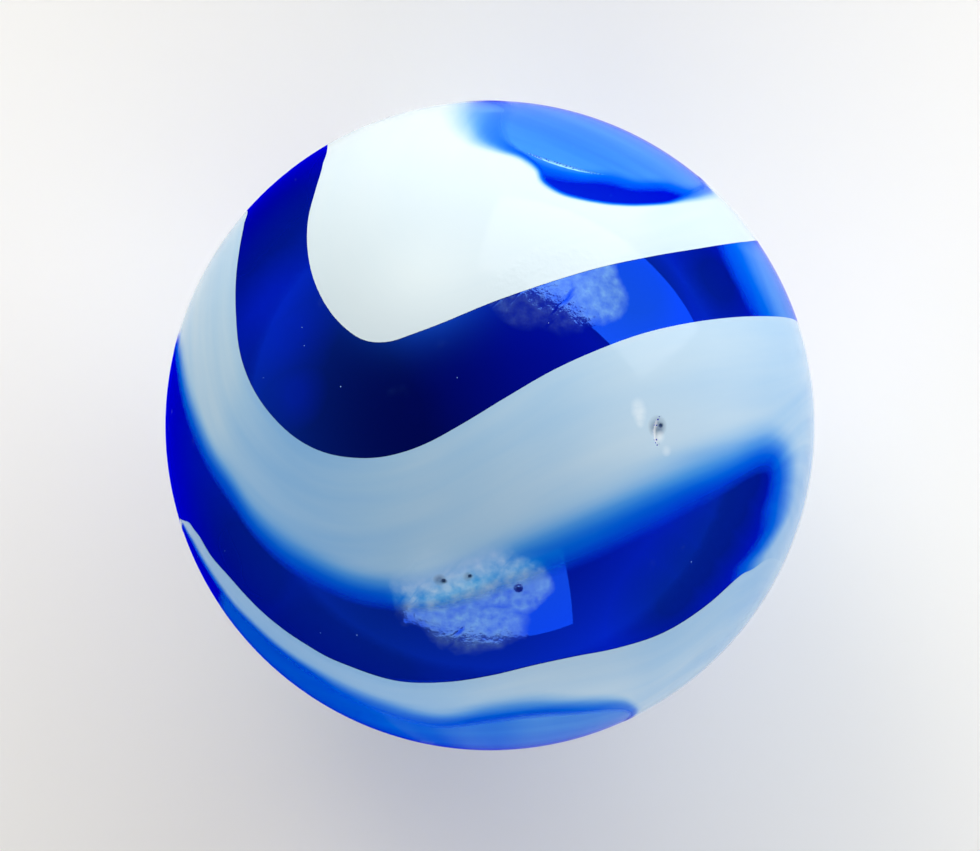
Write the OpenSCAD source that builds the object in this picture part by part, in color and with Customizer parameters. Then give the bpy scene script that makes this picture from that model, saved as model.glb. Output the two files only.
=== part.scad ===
// Glass marble of shooter size: one ball of clear blue glass with ribbons of opal white glass
// fused into it. The origin is the centre of the ball. +Z looks out of the front, where the
// widest ribbon crosses, and the same three ribbons run on round the back.

/* [Ball] */
// Diameter of the ball
ball_d = 25; // [16:0.5:50]
// Clear glass over the crisp edge of a ribbon
skin_t = 0.03; // [0.02:0.01:0.1]

/* [Ribbons] */
// Thickness of the white glass
ribbon_t = 1.2; // [0.6:0.1:2.5]
// How far a ribbon leans in under the blue glass towards its soft edge
ribbon_lean = 0.6; // [0.2:0.1:1.2]

/* [Bruise] */
// Length of the crescent-shaped bruise from tip to tip
bruise_l = 1.3; // [1.1:0.05:1.55]
// Radius of the crescent's back
bruise_r = 0.8; // [0.7:0.05:1.3]
// Width of the crescent at its middle
bruise_w = 0.14; // [0.08:0.01:0.2]
// Depth of the crescent
bruise_depth = 0.05; // [0.02:0.01:0.12]

/* [Pits] */
// Mouth of the largest pit
pit_d = 0.36; // [0.2:0.02:0.6]
// Depth of the largest pit
pit_depth = 0.09; // [0.04:0.01:0.15]

/* [Cut-off creases] */
// Length of a crease from tip to tip
crease_l = 3.2; // [2.8:0.1:4.5]
// Radius that a crease bends to
crease_r = 3; // [2.3:0.1:4]
// Width of a crease at its middle
crease_w = 0.22; // [0.1:0.02:0.3]
// Depth of a crease
crease_depth = 0.06; // [0.03:0.01:0.12]

/* [Hidden] */

$fn = 96;
ball_r = ball_d / 2;

// Steps of the smooth curve between two points of a ribbon's edge
curve_steps = 4;

// A ribbon has a crisp edge, a soft edge, and the way that its white glass leans out to the skin.
// Edges are in plan, as shares of the ball's radius. They run from left to right, and their first
// and last points lie outside the ball.
front_ribbons = [
    [
        [
            [-0.5, 1.1], [-0.5, 0.87], [-0.57, 0.6], [-0.36, 0.26],
            [0.04, 0.39], [0.4, 0.49], [1.1, 0.62],
        ],
        [
            [-0.12, 1.15], [-0.04, 0.9], [0.14, 0.78],
            [0.36, 0.68], [0.67, 0.71], [0.95, 0.84],
        ],
        [0, -1, 0.3],
    ],
    [
        [
            [-0.86, 0.85], [-0.76, 0.67], [-0.79, 0.3], [-0.52, -0.08],
            [-0.24, -0.08], [0.4, 0.27], [1.1, 0.34],
        ],
        [
            [-1.1, 0.34], [-0.95, 0.22], [-0.83, -0.13], [-0.56, -0.43],
            [-0.26, -0.53], [0.62, -0.1], [1.1, -0.02],
        ],
        [0, 1, 0.1],
    ],
    [
        [
            [-1.1, -0.24], [-0.93, -0.33], [-0.68, -0.6], [-0.21, -0.8],
            [0.3, -0.71], [0.67, -0.57], [1.1, -0.42],
        ],
        [
            [-1.05, -0.42], [-0.86, -0.5], [-0.64, -0.73], [-0.26, -0.92],
            [0.1, -0.9], [0.4, -0.92], [0.5, -1.1],
        ],
        [0, 1, 0.9],
    ],
];
back_ribbons = [
    [
        [
            [-0.5, 1.1], [-0.48, 0.85], [-0.34, 0.6], [-0.04, 0.42],
            [0.36, 0.4], [0.81, 0.57], [1.1, 0.62],
        ],
        [
            [-0.12, 1.15], [-0.06, 0.92], [0.04, 0.74],
            [0.26, 0.64], [0.66, 0.71], [0.95, 0.84],
        ],
        [0, -1, -0.3],
    ],
    [
        [
            [-0.86, 0.85], [-0.72, 0.62], [-0.5, 0.3], [-0.16, 0.2],
            [0.16, 0.04], [0.5, -0.02], [1.1, 0.34],
        ],
        [
            [-1.1, 0.34], [-0.9, 0.2], [-0.64, -0.04], [-0.26, -0.1],
            [0.1, -0.32], [0.56, -0.36], [1.1, -0.02],
        ],
        [0, 1, 0.1],
    ],
    [
        [
            [-1.1, -0.24], [-0.92, -0.34], [-0.6, -0.42], [-0.2, -0.56],
            [0.26, -0.66], [0.7, -0.6], [1.1, -0.42],
        ],
        [
            [-1.05, -0.42], [-0.86, -0.46], [-0.56, -0.62], [-0.16, -0.76],
            [0.18, -0.86], [0.38, -0.9], [0.5, -1.1],
        ],
        [0, 1, -0.9],
    ],
];

// Places on the skin, as the tilt away from +Z and the turn about it, in degrees
bruise_place = [28.5, -2];
crease_places = [[53, 74], [118, 256]];

// Each pit's place, and its size as a share of the largest
pits = [
    [[28.8, 280], 1],
    [[28.3, 253.5], 0.75],
    [[26.3, 262.5], 0.55],
    [[30, 0], 0.6],
];

// A point on the smooth curve from b to c, at the share t of the way, with a and d on either side
function curve(a, b, c, d, t) =
    0.5 * (2 * b + (c - a) * t + (2 * a - 5 * b + 4 * c - d) * t * t + (3 * (b - c) + d - a) * t * t * t);

function smooth(points) = let (last = len(points) - 1) [
    for (i = [0 : last - 1], step = [0 : curve_steps - 1])
        curve(
            points[max(i - 1, 0)],
            points[i],
            points[i + 1],
            points[min(i + 2, last)],
            step / curve_steps
        ),
    points[last],
];

function reversed(points) = [for (i = [len(points) - 1 : -1 : 0]) points[i]];

// Puts something on the skin, with its own +Z pointing out of the ball
module at_skin(place) {
    rotate([0, place[0], place[1]])
        translate([0, 0, ball_r])
            children();
}

// A sheet of white glass that reaches the clear skin on one side of the ball and leans in on the other
module leaning_sheet(lean) {
    intersection() {
        sphere(ball_r - skin_t);
        translate(ribbon_lean * lean)
            difference() {
                sphere(ball_r);
                sphere(ball_r - ribbon_t);
            }
    }
}

// The stretch of a sheet between two edges, on the front half of the ball
module ribbon(crisp_edge, soft_edge, lean) {
    intersection() {
        leaning_sheet(lean);
        linear_extrude(ball_r)
            polygon(ball_r * concat(smooth(crisp_edge), reversed(smooth(soft_edge))));
    }
}

// The back half is drawn in the same plan, so its ribbons are made at the front and mirrored over
module ribbons() {
    for (r = front_ribbons)
        ribbon(r[0], r[1], r[2]);
    mirror([0, 0, 1])
        for (r = back_ribbons)
            ribbon(r[0], r[1], [r[2].x, r[2].y, -r[2].z]);
}

// A crescent with pointed tips and a floor of even depth. The middle of its back is at the origin,
// and its hollow side, of a larger radius, faces +X.
module crescent_cut(length, radius, width, depth) {
    back_rise = radius - sqrt(radius * radius - length * length / 4);
    hollow_rise = back_rise - width;
    hollow_r = (length * length / 4 + hollow_rise * hollow_rise) / (2 * hollow_rise);
    reach = length * length / ball_r + depth;
    difference() {
        translate([radius, 0, -reach])
            cylinder(r = radius, h = 2 * reach);
        translate([width + hollow_r, 0, -2 * reach])
            cylinder(r = hollow_r, h = 4 * reach);
        translate([0, 0, -ball_r])
            sphere(ball_r - depth);
    }
}

// A round-bottomed pit with a mouth of the given size
module pit_cut(mouth, depth) {
    pit_r = (mouth * mouth / 4 + depth * depth) / (2 * depth);
    translate([0, 0, pit_r - depth])
        sphere(pit_r);
}

module glass() {
    color("mediumblue", 0.6) sphere(ball_r);
    color("azure") ribbons();
}

// The bruise is the mark of a knock against another marble
module bruised() {
    difference() {
        children();
        at_skin(bruise_place)
            crescent_cut(bruise_l, bruise_r, bruise_w, bruise_depth);
    }
}

module pitted() {
    difference() {
        children();
        for (p = pits)
            at_skin(p[0])
                pit_cut(p[1] * pit_d, p[1] * pit_depth);
    }
}

// The creases are where the shears cut the hot glass off before it was rolled round
module creased() {
    difference() {
        children();
        for (place = crease_places)
            at_skin(place)
                crescent_cut(crease_l, crease_r, crease_w, crease_depth);
    }
}

module marble() {
    creased() pitted() bruised() glass();
}

marble();
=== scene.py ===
# A glass marble of shooter size: clear blue glass with ribbons of opal white glass fused into it.
# Everything is in metres, with the centre of the ball at the origin and +Z out of its front.
import math
import random

import bmesh
import bpy
from mathutils import Matrix, Vector


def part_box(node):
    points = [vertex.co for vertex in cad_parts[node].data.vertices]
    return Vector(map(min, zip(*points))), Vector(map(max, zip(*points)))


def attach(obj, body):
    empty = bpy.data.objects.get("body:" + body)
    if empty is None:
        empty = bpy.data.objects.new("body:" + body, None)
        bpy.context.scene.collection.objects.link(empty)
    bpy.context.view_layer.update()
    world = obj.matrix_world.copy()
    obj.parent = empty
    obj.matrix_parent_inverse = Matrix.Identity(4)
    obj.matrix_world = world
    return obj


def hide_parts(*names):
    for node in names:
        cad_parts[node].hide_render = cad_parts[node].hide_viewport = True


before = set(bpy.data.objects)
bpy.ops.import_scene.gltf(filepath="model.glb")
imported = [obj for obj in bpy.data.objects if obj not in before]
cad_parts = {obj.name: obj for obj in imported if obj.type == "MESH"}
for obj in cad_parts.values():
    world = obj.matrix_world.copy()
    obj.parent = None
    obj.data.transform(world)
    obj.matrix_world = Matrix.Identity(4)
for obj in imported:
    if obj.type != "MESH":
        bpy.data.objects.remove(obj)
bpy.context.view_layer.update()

mm = 0.001

# ---------------------------------------------------------------------------------------------
# The marks that play has left in the skin. A knock against another marble bruised it in a
# crescent, with a pit beside it, and a few pits lie lower down. Where the shears cut the hot
# glass off, a short crease is left. They are cut into both glasses, so they come first.
# ---------------------------------------------------------------------------------------------
low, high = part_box("marble")
ball_r = max(high - low) / 2

# Tilt away from +Z and turn about it, in degrees; then length, radius, width and depth
crescents = [
    ((28.5, -2), (1.3 * mm, 0.8 * mm, 0.14 * mm, 0.05 * mm)),
    ((53, 74), (3.2 * mm, 3.0 * mm, 0.22 * mm, 0.06 * mm)),
    ((118, 256), (3.2 * mm, 3.0 * mm, 0.22 * mm, 0.06 * mm)),
]
# Tilt and turn; then mouth and depth
pits = [
    ((28.8, 280), (0.36 * mm, 0.09 * mm)),
    ((28.3, 253.5), (0.27 * mm, 0.07 * mm)),
    ((26.3, 262.5), (0.2 * mm, 0.05 * mm)),
    ((30, 0), (0.22 * mm, 0.05 * mm)),
]
# Width of a mark's sloping wall, and of the skin round it that is divided finely too
mark_wall, mark_margin = 0.04 * mm, 0.15 * mm


def axes_at(place):
    """The way down the tilt, the way round the turn and the way out of the skin."""
    tilt, turn = map(math.radians, place)
    down = Vector((math.cos(tilt) * math.cos(turn), math.cos(tilt) * math.sin(turn), -math.sin(tilt)))
    round_ = Vector((-math.sin(turn), math.cos(turn), 0))
    return down, round_, down.cross(round_)


def ease(x):
    x = min(max(x, 0), 1)
    return x * x * (3 - 2 * x)


def pitted(skin):
    """The share of its depth that a pit has at a point of the skin, and that pit's depth."""
    best = (0, 0)
    for place, (mouth, deepest) in pits:
        down, across, out = axes_at(place)
        if skin.dot(out) > 0:
            reach = math.hypot(skin.dot(down), skin.dot(across)) / (mouth / 2)
            best = max(best, (ease(1.3 - 1.3 * reach), deepest))
    return best


def bruised(skin):
    """The same for a crescent."""
    best = (0, 0)
    for place, (length, back_r, width, deepest) in crescents:
        down, across, out = axes_at(place)
        x, y = skin.dot(down), skin.dot(across)
        if skin.dot(out) < 0 or abs(x) > length or abs(y) > length:
            continue
        hollow_rise = back_r - math.sqrt(back_r**2 - length**2 / 4) - width
        hollow_r = (length**2 / 4 + hollow_rise**2) / (2 * hollow_rise)
        inside = back_r - math.hypot(x - back_r, y)
        outside = math.hypot(x - width - hollow_r, y) - hollow_r
        best = max(best, (ease(min(inside, outside) / mark_wall), deepest))
    return best


def cut_marks(bm):
    """Divides the skin finely round each mark and sinks it, with the pits darkened and the bruises frosted.
    """
    sites = [(place, size[0] * 0.62) for place, size in crescents + pits]
    for _ in range(2):
        edges = set()
        for place, reach in sites:
            centre = axes_at(place)[2] * ball_r
            for face in bm.faces:
                if (face.calc_center_median() - centre).length < reach + mark_margin:
                    edges.update(face.edges)
        bmesh.ops.subdivide_edges(bm, edges=list(edges), cuts=1, use_grid_fill=True)
    darkening_layer = bm.verts.layers.float.new("dirt")
    frost_layer = bm.verts.layers.float.new("frost")
    for vert in bm.verts:
        out = vert.co.normalized()
        pit, pit_depth = pitted(out * ball_r)
        bruise, bruise_depth = bruised(out * ball_r)
        vert[darkening_layer], vert[frost_layer] = pit, bruise
        vert.co = vert.co - out * max(pit * pit_depth, bruise * bruise_depth)


# ---------------------------------------------------------------------------------------------
# The ball. Clear blue glass, cut hot as a gob and rolled round between screws. Light goes in
# and out of it, and the blue deepens with the length of glass that it crosses.
# ---------------------------------------------------------------------------------------------
# How far above the centre the eye is that sees the ball, in shares of the ball's radius
eye_height = 16.8


class Socket:
    """A socket of a material. Sums on it add Math nodes, and node() adds any other kind."""

    def __init__(self, tree, out):
        self.tree, self.out = tree, out

    def node(self, kind, settings, inputs, output=0):
        made = self.tree.nodes.new(kind)
        for name, value in settings.items():
            if name == "stops":
                ramp = made.color_ramp
                while len(ramp.elements) < len(value):
                    ramp.elements.new(1)
                for element, (place, colour) in zip(ramp.elements, value):
                    element.position = place
                    element.color = (*colour, 1)
            else:
                setattr(made, name, value)
        for name, value in inputs.items():
            if isinstance(value, Socket):
                self.tree.links.new(value.out, made.inputs[name])
            else:
                made.inputs[name].default_value = value
        return Socket(self.tree, made.outputs[output])

    def maths(self, operation, a, b):
        return self.node("ShaderNodeMath", {"operation": operation}, {0: a, 1: b})

    def __add__(self, other):
        return self.maths("ADD", self, other)

    def __sub__(self, other):
        return self.maths("SUBTRACT", self, other)

    def __rsub__(self, other):
        return self.maths("SUBTRACT", other, self)

    def __mul__(self, other):
        return self.maths("MULTIPLY", self, other)

    def __pow__(self, other):
        return self.maths("POWER", self, other)

    __radd__, __rmul__ = __add__, __mul__

    def between(self, low, high):
        """0 up to low, 1 from high on, and even in between."""
        return self.node("ShaderNodeMapRange", {}, {"Value": self, "From Min": low, "From Max": high})


def new_material(name):
    """An empty material, its output node and a socket with the object's own coordinates."""
    material = bpy.data.materials.new(name)
    material.use_nodes = True
    tree = material.node_tree
    tree.nodes.clear()
    output = tree.nodes.new("ShaderNodeOutputMaterial")
    place = tree.nodes.new("ShaderNodeTexCoord").outputs["Object"]
    return material, output, Socket(tree, place)


def noise(place, scale, detail, **more):
    inputs = {"Vector": place, "Scale": scale, "Detail": detail, **more}
    kind = {"noise_dimensions": "4D"} if more else {}
    return place.node("ShaderNodeTexNoise", kind, inputs)


def attribute(place, name):
    return place.node("ShaderNodeAttribute", {"attribute_name": name}, {}, "Fac")


def skin_place(x, y, side):
    """A point of the skin from where it is seen from above, in shares of the outline's radius."""
    reach = math.sqrt(eye_height**2 - 1)
    drop = (eye_height - side * math.sqrt(max(1 - x * x - y * y, 0))) / (1 + (x * x + y * y) / reach**2)
    return Vector((x * drop / reach, y * drop / reach, eye_height - drop)).normalized()


def front(x, y):
    """The point of the skin that is seen there from above."""
    return skin_place(x, y, 1)


def back(x, y):
    """The point that is hidden behind it."""
    return skin_place(x, y, -1)


def nearness(place, spots):
    """How near a place is to one of the spots, from 0 at its reach in shares of the radius to 1."""
    nearest = 0
    for spot, reach in spots:
        gap = place.node("ShaderNodeVectorMath", {"operation": "DISTANCE"}, {0: place, 1: spot * ball_r}, 1)
        near = gap.between(reach * ball_r, reach * 0.25 * ball_r)
        nearest = place.maths("MAXIMUM", near, nearest)
    return nearest


# Where play has rubbed the skin dull. On the front these spots lie where the two softboxes reflect, and the
# paler colour painted over them is partly a painted reflection of those lamps
scuffs_and_sheen = [
    (front(-0.08, -0.53), 0.24),
    (front(0.09, -0.5), 0.12),
    (front(0.12, 0.41), 0.14),
    (front(0.21, 0.42), 0.17),
    (front(0.29, 0.43), 0.16),
    (back(0.55, -0.35), 0.4),
    (back(-0.62, 0.1), 0.35),
    (back(0.1, 0.6), 0.3),
]
# Where the blue is painted darkest: partly where it lies deepest, partly painted shade standing in for the
# dim floor seen through the glass, most over the centre-left
deep_and_shaded_spots = [
    (front(-0.45, -0.02), 1),
    (front(-0.74, -0.42), 0.5),
    (front(-0.7, 0.6), 0.6),
    (front(-0.45, -0.72), 0.8),
    (front(0.79, -0.17), 0.24),
    (front(0.75, -0.26), 0.24),
    (front(0.7, -0.35), 0.24),
    (front(0.64, -0.44), 0.24),
    (front(0.57, -0.53), 0.24),
    (front(0.45, 0.42), 0.3),
    (front(0.7, 0.45), 0.26),
    (back(0.45, 0.3), 0.9),
    (back(-0.3, -0.45), 0.8),
]
# Where the blue is painted lighter in between: partly where it lies thin, partly a painted glow standing in
# for the bright floor seen through the glass near the left rim
thin_and_lit_spots = [(front(-0.66, 0.38), 0.2), (front(-0.62, 0.28), 0.18), (front(-0.6, 0.1), 0.12)]


def skin_normal(place, dull):
    """The faint unevenness of a marble's fire-polished skin, with the grain of the scuffs on it."""
    height = noise(place, 200, 1) + noise(place, 3600, 4) * dull * 0.8
    return place.node("ShaderNodeBump", {}, {"Height": height, "Distance": 0.02 * mm})


def worn(place):
    """How dull the skin is, from 0 to 1: grained where it is rubbed, with clear scratches across."""
    turned = {"Vector": place, "Rotation": (0, 0, 0.8), "Scale": (1, 0.2, 1)}
    slanting = place.node("ShaderNodeMapping", {"vector_type": "TEXTURE"}, turned)
    scratches = noise(slanting, 420, 3).between(0.6, 0.7)
    rubbed = (nearness(place, scuffs_and_sheen) + noise(place, 700, 4) * 0.8 - 0.4).between(0.15, 0.4)
    return rubbed * noise(place, 2600, 3).between(0.1, 0.75) * (1 - scratches)


def blend(place, share, first, second):
    """A colour that turns from first to second as share goes from 0 to 1."""
    return place.node("ShaderNodeMix", {"data_type": "RGBA"}, {0: share, 6: first, 7: second}, 2)


# The darker blue stands for deep glass and painted shade, the lighter for thin glass and painted glow
thin_and_lit_blue, deep_and_shaded_blue = (0.0005, 0.01, 0.52, 1), (0.0001, 0.0005, 0.09, 1)
# Share of red, green and blue that a metre of the glass takes off, in natural logarithms
blue_absorbs = (1200, 500, 30)

blue_glass, output, place = new_material("blue_glass")
# Darker and lighter blue over the spots above: partly the depth of the glass, partly painted shade and glow
depth_and_shade = nearness(place, deep_and_shaded_spots) - nearness(place, thin_and_lit_spots) * 0.4 + (noise(place, 150, 3) - 0.5) * 0.4
dull = worn(place)
# The rubbed skin is painted paler: partly the frosting of the wear, partly a painted reflection of the
# softboxes that shine there
colour = blend(place, dull * 0.08, blend(place, depth_and_shade, thin_and_lit_blue, deep_and_shaded_blue), (0.35, 0.55, 0.9, 1))
# What comes back through the skin is tinted by a coat of the blue, and most of all at the rim
surface = place.node(
    "ShaderNodeBsdfPrincipled",
    {},
    {
        "Base Color": blend(place, attribute(place, "frost") * 0.5, colour, (0.4, 0.6, 0.85, 1)),
        "Transmission Weight": 0.12,
        "IOR": 1.52,
        "Specular IOR Level": 0.85,
        "Specular Tint": (0.75, 1.7, 2.4, 1),
        "Roughness": 0.02 + dull * 0.1,
        "Normal": skin_normal(place, dull),
        "Coat Weight": 1 - dull * 0.75,
        "Coat IOR": 1,
        "Coat Tint": (0.05, 0.22, 1, 1),
    },
)
depth = place.node(
    "ShaderNodeVolumeAbsorption",
    {},
    {
        "Color": (*[1 - share / max(blue_absorbs) for share in blue_absorbs], 1),
        "Density": max(blue_absorbs),
    },
)
blue_glass.node_tree.links.new(surface.out, output.inputs["Surface"])
blue_glass.node_tree.links.new(depth.out, output.inputs["Volume"])


def finish_piece(name, bm, material):
    mesh = bpy.data.meshes.new(name)
    bm.to_mesh(mesh)
    bm.free()
    mesh.materials.append(material)
    mesh.shade_smooth()
    piece = bpy.data.objects.new(name, mesh)
    bpy.context.scene.collection.objects.link(piece)
    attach(piece, "root")
    return piece


bm = bmesh.new()
bmesh.ops.create_icosphere(bm, subdivisions=7, radius=ball_r)
cut_marks(bm)
glass_ball = finish_piece("blue_glass_ball", bm, blue_glass)
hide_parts("marble")

# ---------------------------------------------------------------------------------------------
# The white ribbons. Opal glass, poured in beside the blue and drawn round the ball as it was
# rolled. Each is a strap with a lens-shaped section. One edge is crisp, and the blue creeps
# over the other. A few wisps of the same opal lie wholly under the blue.
# ---------------------------------------------------------------------------------------------
ribbon_t = 1.2 * mm
deepest = 3.6 * mm
along_step, across_step = 0.25 * mm, 0.16 * mm


# Stations round the ball: a point of the crisp edge and one of the soft edge. Then in millimetres
# the width over which the blue creeps across the soft edge, the blue that lies over the rest and,
# where it stays shallow, the blue that lies over the soft edge.
upper_ribbon = [
    (front(-0.50, 0.86), front(-0.04, 0.985), 3.2, 0.02, 1.1),
    (front(-0.515, 0.80), front(-0.04, 0.955), 3.0, 0.02, 1.1),
    (front(-0.535, 0.73), front(-0.035, 0.92), 2.6, 0.02, 1.1),
    (front(-0.56, 0.63), front(-0.01, 0.88), 2.0, 0.02, 1.2),
    (front(-0.56, 0.53), front(0.04, 0.85), 1.3, 0.02, 1.5),
    (front(-0.535, 0.43), front(0.10, 0.825), 0.7, 0.02, 2.2),
    (front(-0.48, 0.335), front(0.145, 0.79), 0.5, 0.02),
    (front(-0.40, 0.268), front(0.16, 0.755), 0.4, 0.02),
    (front(-0.32, 0.257), front(0.19, 0.73), 0.4, 0.02),
    (front(-0.24, 0.281), front(0.23, 0.71), 0.4, 0.02),
    (front(-0.13, 0.323), front(0.28, 0.697), 0.4, 0.02),
    (front(0.0, 0.377), front(0.33, 0.687), 0.4, 0.02),
    (front(0.15, 0.43), front(0.39, 0.68), 0.4, 0.02),
    (front(0.32, 0.482), front(0.46, 0.678), 0.4, 0.02),
    (front(0.5, 0.521), front(0.54, 0.683), 0.4, 0.05),
    (front(0.65, 0.546), front(0.60, 0.697), 0.6, 0.05, 2),
    (front(0.76, 0.563), front(0.65, 0.71), 0.8, 0.05, 1.2),
    (front(0.815, 0.569), front(0.68, 0.722), 1.0, 0.05, 1.1),
    (back(0.78, 0.52), front(0.66, 0.75), 1.2, 0.1, 1.1),
    (back(0.62, 0.44), back(0.56, 0.72), 1.0, 0.1),
    (back(0.4, 0.38), back(0.40, 0.66), 1.2, 0.1),
    (back(0.15, 0.38), back(0.22, 0.68), 1.2, 0.1),
    (back(-0.08, 0.45), back(0.08, 0.74), 1.2, 0.1),
    (back(-0.27, 0.58), back(0.0, 0.82), 1.3, 0.1),
    (back(-0.41, 0.73), back(-0.05, 0.91), 1.4, 0.1),
]
middle_ribbon = [
    (front(-0.748, 0.662), front(-0.962, 0.27), 1.4, 0.2),
    (front(-0.757, 0.62), front(-0.957, 0.235), 1.4, 0.2),
    (front(-0.77, 0.55), front(-0.95, 0.19), 1.4, 0.2),
    (front(-0.782, 0.45), front(-0.935, 0.105), 1.5, 0.2),
    (front(-0.782, 0.34), front(-0.905, 0.01), 1.6, 0.2),
    (front(-0.77, 0.225), front(-0.86, -0.09), 1.7, 0.22),
    (front(-0.735, 0.125), front(-0.80, -0.18), 1.8, 0.32),
    (front(-0.68, 0.04), front(-0.725, -0.29), 1.9, 0.38),
    (front(-0.60, -0.037), front(-0.64, -0.37), 2.1, 0.4),
    (front(-0.51, -0.083), front(-0.54, -0.432), 2.1, 0.38),
    (front(-0.41, -0.1), front(-0.43, -0.482), 2.1, 0.33),
    (front(-0.31, -0.093), front(-0.32, -0.505), 2.1, 0.28),
    (front(-0.20, -0.057), front(-0.20, -0.51), 2.2, 0.24),
    (front(-0.08, 0.008), front(-0.07, -0.465), 2.7, 0.24),
    (front(0.05, 0.087), front(0.06, -0.41), 3.0, 0.21),
    (front(0.19, 0.168), front(0.20, -0.355), 3.3, 0.2),
    (front(0.33, 0.232), front(0.34, -0.292), 3.5, 0.15),
    (front(0.47, 0.283), front(0.48, -0.224), 3.5, 0.12),
    (front(0.61, 0.315), front(0.62, -0.158), 3.3, 0.13),
    (front(0.75, 0.333), front(0.74, -0.108), 3.0, 0.15),
    (front(0.86, 0.336), front(0.84, -0.066), 2.6, 0.2),
    (front(0.938, 0.325), front(0.89, -0.08), 2.6, 0.24),
    (back(0.93, 0.28), front(0.908, -0.14), 3.6, 0.3),
    (back(0.87, 0.20), front(0.898, -0.22), 3.8, 0.4),
    (back(0.80, 0.13), front(0.884, -0.3), 3.4, 0.42),
    (back(0.75, 0.09), front(0.845, -0.37), 3.0, 0.42),
    (back(0.70, 0.06), front(0.80, -0.44), 2.8, 0.4),
    (back(0.65, 0.04), front(0.81, -0.53), 2.4, 0.35),
    (back(0.58, 0.03), back(0.81, -0.49), 2.4, 0.3),
    (back(0.50, 0.02), back(0.70, -0.43), 2.4, 0.22),
    (back(0.32, 0.0), back(0.48, -0.4), 2.4, 0.22),
    (back(0.12, 0.03), back(0.16, -0.33), 2.4, 0.22),
    (back(-0.1, 0.12), back(-0.14, -0.22), 2.2, 0.22),
    (back(-0.33, 0.25), back(-0.42, -0.08), 2.0, 0.22),
    (back(-0.53, 0.40), back(-0.66, 0.06), 1.8, 0.22),
    (back(-0.68, 0.56), back(-0.86, 0.20), 1.6, 0.22),
]
lower_ribbon = [
    (front(-0.945, -0.3), front(-0.955, -0.295), 0.8, 0.45),
    (front(-0.904, -0.329), front(-0.926, -0.337), 1.0, 0.45),
    (front(-0.859, -0.401), front(-0.884, -0.412), 1.0, 0.45),
    (front(-0.804, -0.464), front(-0.838, -0.484), 1.0, 0.45),
    (front(-0.75, -0.525), front(-0.788, -0.552), 1.0, 0.45),
    (front(-0.693, -0.581), front(-0.729, -0.612), 1.0, 0.45),
    (front(-0.631, -0.631), front(-0.668, -0.668), 1.0, 0.45),
    (front(-0.566, -0.674), front(-0.602, -0.718), 1.2, 0.42),
    (front(-0.499, -0.713), front(-0.533, -0.762), 1.4, 0.4, 2.6),
    (front(-0.429, -0.742), front(-0.464, -0.803), 1.8, 0.36, 1.9),
    (front(-0.286, -0.786), front(-0.315, -0.866), 2.0, 0.33, 1.5),
    (front(-0.139, -0.79), front(-0.159, -0.903), 2.2, 0.28, 1.6),
    (front(0, -0.77), front(0, -0.88), 2.4, 0.19, 2.2),
    (front(0.13, -0.739), front(0.152, -0.862), 2.4, 0.15, 2.2),
    (front(0.259, -0.711), front(0.312, -0.857), 2.3, 0.15, 1.6),
    (front(0.395, -0.684), front(0.4, -0.855), 2.0, 0.16, 1.2),
    (front(0.535, -0.637), front(0.44, -0.87), 1.2, 0.22, 1.2),
    (front(0.663, -0.556), front(0.447, -0.885), 1.2, 0.22, 1.2),
    (front(0.757, -0.473), front(0.437, -0.897), 1.2, 0.25, 1.2),
    (front(0.803, -0.445), back(0.43, -0.9), 1.2, 0.3, 1.2),
    (front(0.88, -0.41), back(0.41, -0.9), 1.2, 0.35, 1.2),
    (back(0.84, -0.45), back(0.36, -0.88), 1.2, 0.3, 2),
    (back(0.62, -0.56), back(0.25, -0.84), 1.4, 0.25),
    (back(0.34, -0.62), back(0.1, -0.82), 1.4, 0.25),
    (back(0.04, -0.62), back(-0.1, -0.8), 1.4, 0.25),
    (back(-0.26, -0.55), back(-0.33, -0.74), 1.2, 0.25),
    (back(-0.55, -0.46), back(-0.6, -0.62), 0.8, 0.25),
    (back(-0.8, -0.37), back(-0.8, -0.48), 0.5, 0.25),
]


def wisp(middle, creep, under, edge):
    """Stations of a wisp: one point in its middle, and its soft edge all round."""
    return [(middle, point, creep, under) for point in edge]


eye_edge = [
    *(front(-0.24, 0.94), front(-0.2, 0.89), front(-0.08, 0.85), front(0.03, 0.835)),
    *(front(0.12, 0.81), front(0.19, 0.785), front(0.28, 0.77), front(0.37, 0.765)),
    *(front(0.45, 0.745), front(0.54, 0.742), front(0.64, 0.722), back(0.66, 0.72)),
    *(back(0.5, 0.74), back(0.3, 0.74), back(0.12, 0.80), back(-0.02, 0.89), back(-0.12, 0.94)),
]
right_edge = [
    *(front(0.76, 0.58), front(0.77, 0.53), front(0.8, 0.46), front(0.83, 0.4), front(0.86, 0.34)),
    *(front(0.92, 0.24), front(0.96, 0.1), back(0.93, 0.0), back(0.82, 0.1), back(0.73, 0.3)),
    *(back(0.7, 0.45), back(0.74, 0.56), back(0.8, 0.58)),
]
eye_wisp = wisp(back(0.45, 0.86), 1.4, 1.0, eye_edge)
edge_wisp = wisp(back(0.93, 0.2), 3.6, 0.95, right_edge)
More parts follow.
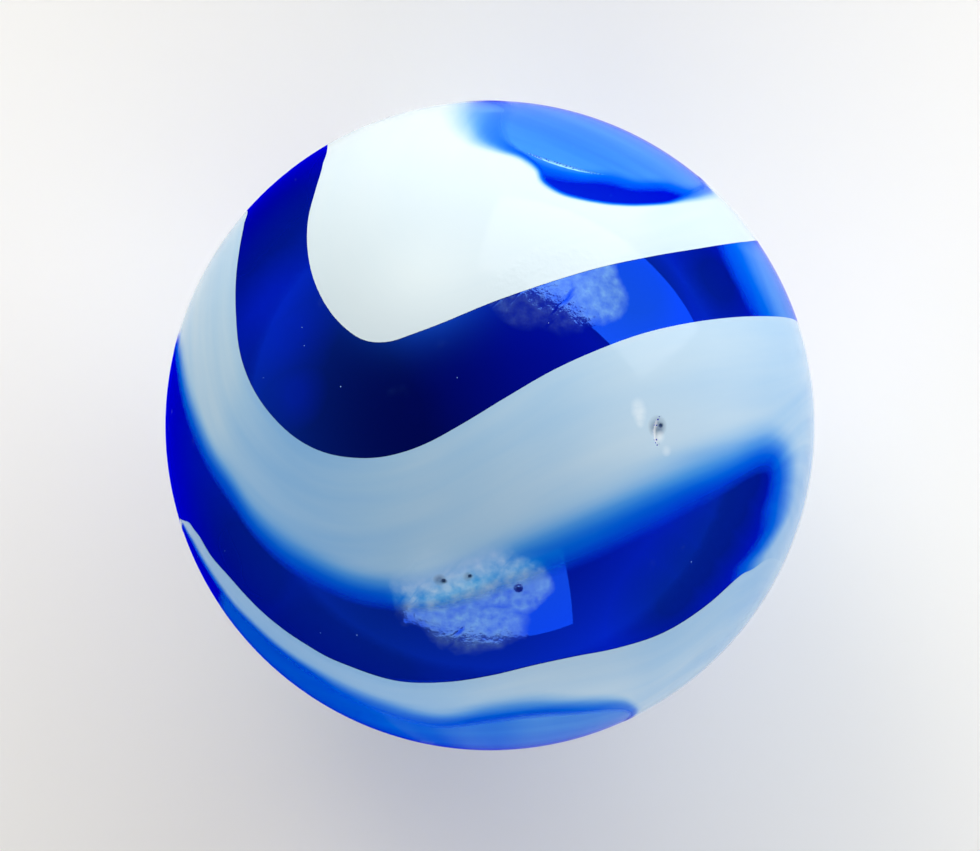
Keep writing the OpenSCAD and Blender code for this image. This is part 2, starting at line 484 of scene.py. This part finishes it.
# The wisp at the foot lies deepest on the left
foot_edge = [
    (3.5, [front(-0.79, -0.56)]),
    (3.1, [front(-0.7, -0.65)]),
    (2.6, [front(-0.6, -0.72)]),
    (2.1, [front(-0.49, -0.78)]),
    (1.5, [front(-0.38, -0.815), front(-0.26, -0.83)]),
    (1.15, [front(-0.134, -0.835), front(0, -0.83)]),
    (0.9, [front(0.14, -0.81), front(0.27, -0.808), front(0.395, -0.81)]),
    (0.9, [front(0.48, -0.84), back(0.5, -0.86), back(0.4, -0.89)]),
    (1.2, [back(0.2, -0.88), back(0.02, -0.87)]),
    (1.7, [back(-0.2, -0.87)]),
    (2.6, [back(-0.45, -0.8), back(-0.68, -0.66)]),
]
foot_wisp = []
for under, edge in foot_edge:
    foot_wisp += wisp(back(0.06, -0.93), 2.4, under, edge)


def along(points, share):
    """A point on the smooth closed curve through the points."""
    count = len(points)
    step = math.floor(share * count)
    t = share * count - step
    a, b, c, d = (points[(step + i) % count] for i in (-1, 0, 1, 2))
    curve = 2 * b + (c - a) * t + (2 * a - 5 * b + 4 * c - d) * t**2 + (3 * (b - c) + d - a) * t**3
    return curve / 2


def even_shares(crisp, soft):
    """Shares of the way round, one step apart on whichever edge is the longer there."""
    count = 40 * len(crisp)
    travelled = [0]
    for i in range(count):
        steps = [along(edge, (i + 1) / count) - along(edge, i / count) for edge in (crisp, soft)]
        travelled.append(travelled[-1] + ball_r * max(step.length for step in steps))
    rows = int(travelled[-1] / along_step)
    shares, i = [], 0
    for row in range(rows):
        goal = travelled[-1] * row / rows
        while travelled[i + 1] < goal:
            i += 1
        shares.append((i + (goal - travelled[i]) / (travelled[i + 1] - travelled[i])) / count)
    return shares


def lay_ribbon(name, stations, proud):
    """A closed strap of opal glass, whose outer face is the skin and whose inner face is a lens."""
    crisp, soft = zip(*[station[:2] for station in stations])
    depths = [Vector((*station[2:], deepest / mm)[:3]) * mm for station in stations]
    usual = sum(depth.y for depth in depths) / len(depths)
    shares = even_shares(crisp, soft)
    width = ball_r * max((a - b).length for a, b in zip(crisp, soft)) + 1 * mm
    outer_share = 0.75
    columns = max(int(width / across_step / outer_share), 16)

    bm = bmesh.new()
    bmesh.ops.create_grid(bm, x_segments=len(shares), y_segments=columns, size=0.5)
    cover_layer = bm.verts.layers.float.new("cover")
    crept_layer = bm.verts.layers.float.new("crept")
    across_layer = bm.verts.layers.float.new("across")
    for vert in bm.verts:
        share = shares[round((vert.co.x + 0.5) * len(shares)) % len(shares)]
        w = vert.co.y + 0.5
        v = w / outer_share if w < outer_share else (1 - w) / (1 - outer_share)
        a, b = along(crisp, share).normalized(), along(soft, share).normalized()
        creep, under, over = along(depths, share)
        # A wisp's blue evens out towards the middle, where its stations meet
        if crisp[0] == crisp[1]:
            under = usual + (under - usual) * ease(v * 1.25)
        angle = a.angle(b)
        end = angle + creep / 2 / ball_r
        turn = v * end
        out = (a * math.sin(angle - turn) + b * math.sin(turn)) / math.sin(angle)
        crept = max(1 - (end - turn) * ball_r / creep, 0) if creep > 0.02 * mm else 0
        blue = under + (deepest - under) * crept**2
        vert[cover_layer] = math.sqrt((blue**-4 + over**-4) ** -0.25 / deepest)
        vert[crept_layer] = crept
        vert[across_layer] = turn * ball_r / mm
        thick = min(ribbon_t, 0.35 * end * ball_r) * math.sin(math.pi * v)
        vert.co = out * (ball_r + proud - (thick if w > outer_share else 0))
    bmesh.ops.remove_doubles(bm, verts=bm.verts, dist=0.001 * mm)
    bmesh.ops.recalc_face_normals(bm, faces=bm.faces)
    cut_marks(bm)
    for edge in bm.edges:
        if edge.is_manifold and edge.calc_face_angle(0) > math.radians(50):
            edge.smooth = False
    return finish_piece(name, bm, white_glass)


# Stops of the colour from bare opal to opal deep under the blue
opal = (0.6, 0.69, 0.76)
creep_absorbs = (1250, 570, 45)
stop_count = 12
stops = []
for step in range(stop_count):
    share = step / (stop_count - 1)
    thick = share**2 * deepest
    stops.append((share, [c * math.exp(-2 * a * thick) for c, a in zip(opal, creep_absorbs)]))

# Spots that are darkened: the pit beside the bruise and two pits lower down; and the crushed glass that the
# knock left round the bruise
darkened_spots = [(front(0.516, -0.002), 0.04), (front(-0.155, -0.475), 0.025), (front(-0.07, -0.465), 0.02)]
smears = [
    (front(0.456, 0.065), 0.03),
    (front(0.458, 0.045), 0.034),
    (front(0.461, 0.025), 0.028),
    (front(0.463, 0.008), 0.02),
    (front(0.522, -0.036), 0.024),
    (front(0.543, -0.078), 0.022),
]

# Opal that the blue creeps over, with faint streaks along it
white_glass, output, place = new_material("white_glass")
cover = attribute(place, "cover")
streaks = (noise(place, 90, 3, W=attribute(place, "across") * 0.01) - 0.5) * (cover * 0.3 + 0.06)
colour = place.node("ShaderNodeValToRGB", {"stops": stops}, {0: cover + streaks})
# A ribbon thins out under its soft edge. Light crosses it there on the way in and on the way out,
# so the colour is made lighter in step.
thinning = attribute(place, "crept").between(0.68, 0.95)
colour = place.node("ShaderNodeVectorMath", {"operation": "SCALE"}, {0: colour, "Scale": 1 + thinning})
dull = worn(place)
# Over the soft edges the rubbed grain and the spots where the softboxes reflect are painted paler: partly
# wear, partly a painted reflection of the lamps
wear_and_sheen_paling = (dull * 0.6 + nearness(place, scuffs_and_sheen) * 0.4) * cover.between(0.28, 0.48)
colour = blend(place, wear_and_sheen_paling, colour, (0.45, 0.6, 0.84, 1))
grain = noise(place, 1500, 3)
# Darker in the pits and round the spots listed above
darkening = attribute(place, "dirt") + (nearness(place, darkened_spots) * 2 * grain).between(0.2, 1.4)
darkened_colour = blend(place, darkening * 0.85, colour, (0.02, 0.05, 0.14, 1))
frosted = attribute(place, "frost") * 0.7 + (nearness(place, smears) * 2 * grain).between(0.2, 1.4) * 0.5
surface = place.node(
    "ShaderNodeBsdfPrincipled",
    {},
    {
        "Base Color": blend(place, frosted, darkened_colour, (0.85, 0.9, 0.95, 1)),
        "Roughness": 0.06 + dull * 0.15,
        "Normal": skin_normal(place, dull),
        "Alpha": 1 - thinning,
        "IOR": 1.52,
        "Specular IOR Level": 0.14,
        "Coat Weight": cover.between(0.36, 0.66) * (1 - dull * 0.8),
        "Coat IOR": 1,
        "Coat Tint": (0.03, 0.82, 1, 1),
    },
)
white_glass.node_tree.links.new(surface.out, output.inputs["Surface"])

lay_ribbon("upper_white_ribbon", upper_ribbon, 0.014 * mm)
lay_ribbon("middle_white_ribbon", middle_ribbon, 0.011 * mm)
lay_ribbon("lower_white_ribbon", lower_ribbon, 0.014 * mm)
lay_ribbon("eye_wisp", eye_wisp, 0.005 * mm)
lay_ribbon("foot_wisp", foot_wisp, 0.005 * mm)
lay_ribbon("edge_wisp", edge_wisp, 0.005 * mm)

# ---------------------------------------------------------------------------------------------
# Seeds. Specks of gas that were caught in the melt, each a tiny bubble just under the skin.
# ---------------------------------------------------------------------------------------------
seed_glass, output, place = new_material("seed_bubble")
surface = place.node(
    "ShaderNodeBsdfPrincipled",
    {},
    {"Base Color": (0.25, 0.45, 0.9, 1), "Roughness": 0.2, "IOR": 1.5},
)
seed_glass.node_tree.links.new(surface.out, output.inputs["Surface"])

seen_seeds = [
    *(front(-0.698, 0.147), front(-0.579, 0.302), front(-0.572, 0.246), front(0.18, 0.316)),
    *(front(0.117, 0.878), front(-0.522, -0.639), front(-0.41, -0.646), front(-0.817, -0.386)),
    *(front(-0.101, 0.147), front(-0.46, 0.12), front(0.32, -0.35), front(0.62, -0.42)),
]
random.seed(11)
other_seeds = []
while len(other_seeds) < 24:
    spot = Vector([random.gauss(0, 1) for _ in range(3)]).normalized()
    if spot.z < 0.3:
        other_seeds.append(spot)
bm = bmesh.new()
for spot in seen_seeds + other_seeds:
    seed_r = random.uniform(0.03, 0.075) * mm
    centre = Matrix.Translation(spot * (ball_r - seed_r * 0.9))
    bmesh.ops.create_icosphere(bm, subdivisions=2, radius=seed_r, matrix=centre)
finish_piece("seeds", bm, seed_glass)

# ---------------------------------------------------------------------------------------------
# The table, the lamps and the camera. A round white table that fades out at its edge, a broad soft
# light from behind, a softbox in front and one to the right, and a long lens straight above.
# ---------------------------------------------------------------------------------------------
scene = bpy.context.scene
scene.view_settings.view_transform = "Standard"

table_r, fade_r = 0.43, 0.16
bm = bmesh.new()
bmesh.ops.create_circle(bm, cap_ends=True, segments=96, radius=table_r)
bmesh.ops.translate(bm, verts=bm.verts, vec=(0, 0, low.z))
mesh = bpy.data.meshes.new("table")
bm.to_mesh(mesh)
bm.free()
table = bpy.data.objects.new("table", mesh)
scene.collection.objects.link(table)

white_table, output, place = new_material("white_table")
matt = place.node("ShaderNodeBsdfDiffuse", {}, {"Color": (0.95, 0.95, 0.95, 1)})
reach = place.node("ShaderNodeVectorMath", {"operation": "LENGTH"}, {0: place}, 1)
faded = reach.between(fade_r, table_r)
clear = place.node("ShaderNodeBsdfTransparent", {}, {})
surface = place.node("ShaderNodeMixShader", {}, {0: faded, 1: matt, 2: clear})
white_table.node_tree.links.new(surface.out, output.inputs["Surface"])
mesh.materials.append(white_table)

world = bpy.data.worlds.new("studio")
scene.world = world
world.use_nodes = True
tree = world.node_tree
tree.nodes.clear()
output = tree.nodes.new("ShaderNodeOutputWorld")
direction = Socket(tree, tree.nodes.new("ShaderNodeTexCoord").outputs["Generated"])
key_way = Vector((-0.34, 0.76, 0.5)).normalized()
facing = direction.node("ShaderNodeVectorMath", {"operation": "DOT_PRODUCT"}, {0: direction, 1: key_way}, 1)
upward = direction.node("ShaderNodeSeparateXYZ", {}, {0: direction}, 2)
brightness = 0.08 + 1.1 * (1 - upward) ** 2 + 7 * facing.maths("MAXIMUM", facing, 0) ** 24
warmth = blend(direction, facing.maths("MAXIMUM", facing, 0) ** 8, (1, 1, 1, 1), (1, 0.92, 0.72, 1))
sky = direction.node("ShaderNodeBackground", {}, {"Color": warmth, "Strength": brightness})
tree.links.new(sky.out, output.inputs["Surface"])


def soft_lamp(name, turn, height, distance, width, tall, radiance):
    """An upright softbox round the table, facing the ball. Turn is from +X towards +Y."""
    light = bpy.data.lights.new(name, "AREA")
    light.shape = "RECTANGLE"
    light.size, light.size_y = width, tall
    light.energy = radiance * math.pi * width * tall
    lamp = bpy.data.objects.new(name, light)
    turn = math.radians(turn)
    lamp.location = (distance * math.cos(turn), distance * math.sin(turn), height)
    lamp.rotation_euler = (-lamp.location).to_track_quat("-Z", "Y").to_euler()
    lamp.visible_camera = False
    scene.collection.objects.link(lamp)


soft_lamp("front_lamp", -90.5, 0.26, 0.5, 0.5, 0.34, 2.7)
soft_lamp("right_lamp", 56, 0.19, 0.46, 0.64, 0.33, 3.6)

data = bpy.data.cameras.new("camera")
data.lens = 200
data.clip_start, data.clip_end = 0.01, 5
camera = bpy.data.objects.new("camera", data)
camera.location = (0, 0, eye_height * ball_r)
scene.collection.objects.link(camera)
scene.camera = camera
